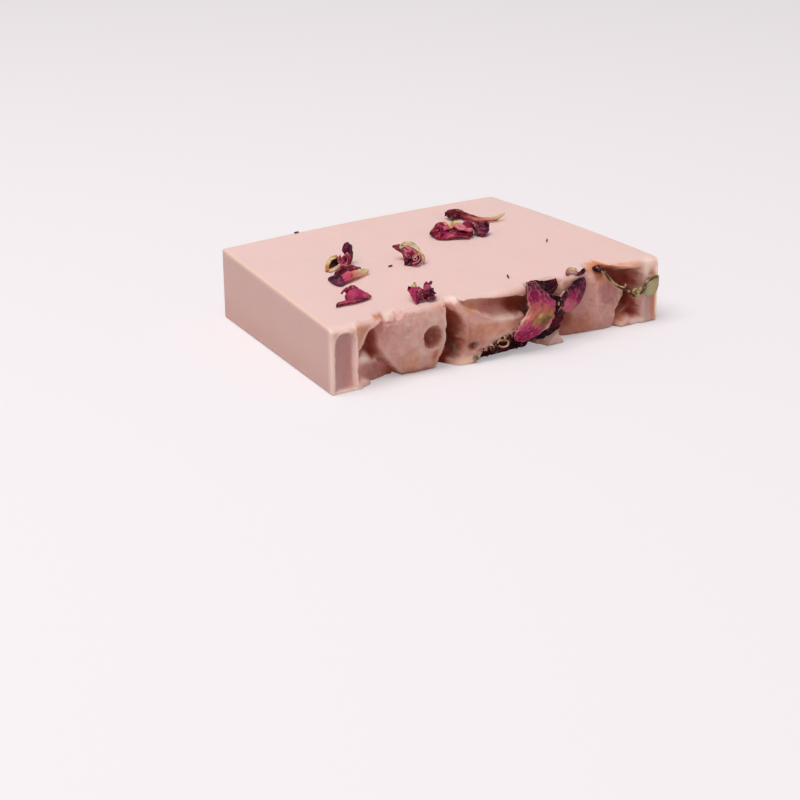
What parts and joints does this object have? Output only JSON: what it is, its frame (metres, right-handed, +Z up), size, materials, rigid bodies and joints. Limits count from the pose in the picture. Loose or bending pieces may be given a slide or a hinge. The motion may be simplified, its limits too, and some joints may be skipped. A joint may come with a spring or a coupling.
{
  "type": "soap bar",
  "caption": "Hand-cut bar of pink loaf soap with flat wire-cut faces, one rough folded face and dried rose petals lying on it and pressed into it.",
  "frame": {"origin": "middle of the flat underside, in its plane", "axes": "+X along the bar, -Y out of the rough petal-strewn face, +Y out of the flat mould face, +Z up out of the upper cut face"},
  "size_m": [0.09, 0.063, 0.0215],
  "materials": {
    "soap": "waxy, slightly translucent pale pink",
    "dark_petal": "dried petal, dark maroon",
    "magenta_petal": "dried petal, magenta",
    "pink_petal": "dried petal, pink fading to cream",
    "tan_petal": "dried petal base, tan",
    "green_sepal": "dried sepal, olive green"
  },
  "bodies": {
    "root": {"soap_bar": "soap", "petal_crumbs": "dark_petal", "upright_purple_petal": "dark_petal", "small_pink_curl": "pink_petal", "tan_arched_petal": "tan_petal", "long_dark_petal": "dark_petal", "pink_cream_petal": "pink_petal", "fan_petal": "magenta_petal", "rolled_petal": "dark_petal", "pale_sepal": "green_sepal", "magenta_crumpled_petal": "magenta_petal", "brown_crinkled_petal": "dark_petal", "cream_scrap_petal": "tan_petal", "long_tapered_petal": "dark_petal", "maroon_crumpled_petal": "dark_petal", "pink_overlapping_petal": "pink_petal", "dark_crumpled_petal": "dark_petal", "dark_petal_behind": "dark_petal", "large_pink_petal": "magenta_petal", "narrow_petal": "magenta_petal", "dark_scrap_petal": "dark_petal", "tan_curled_petal": "tan_petal", "dark_stem_scrap": "dark_petal", "glossy_dark_scrap": "dark_petal", "green_strand": "green_sepal", "pale_leaf": "green_sepal", "lower_fringe_petal": "dark_petal"}
  },
  "joints": []
}
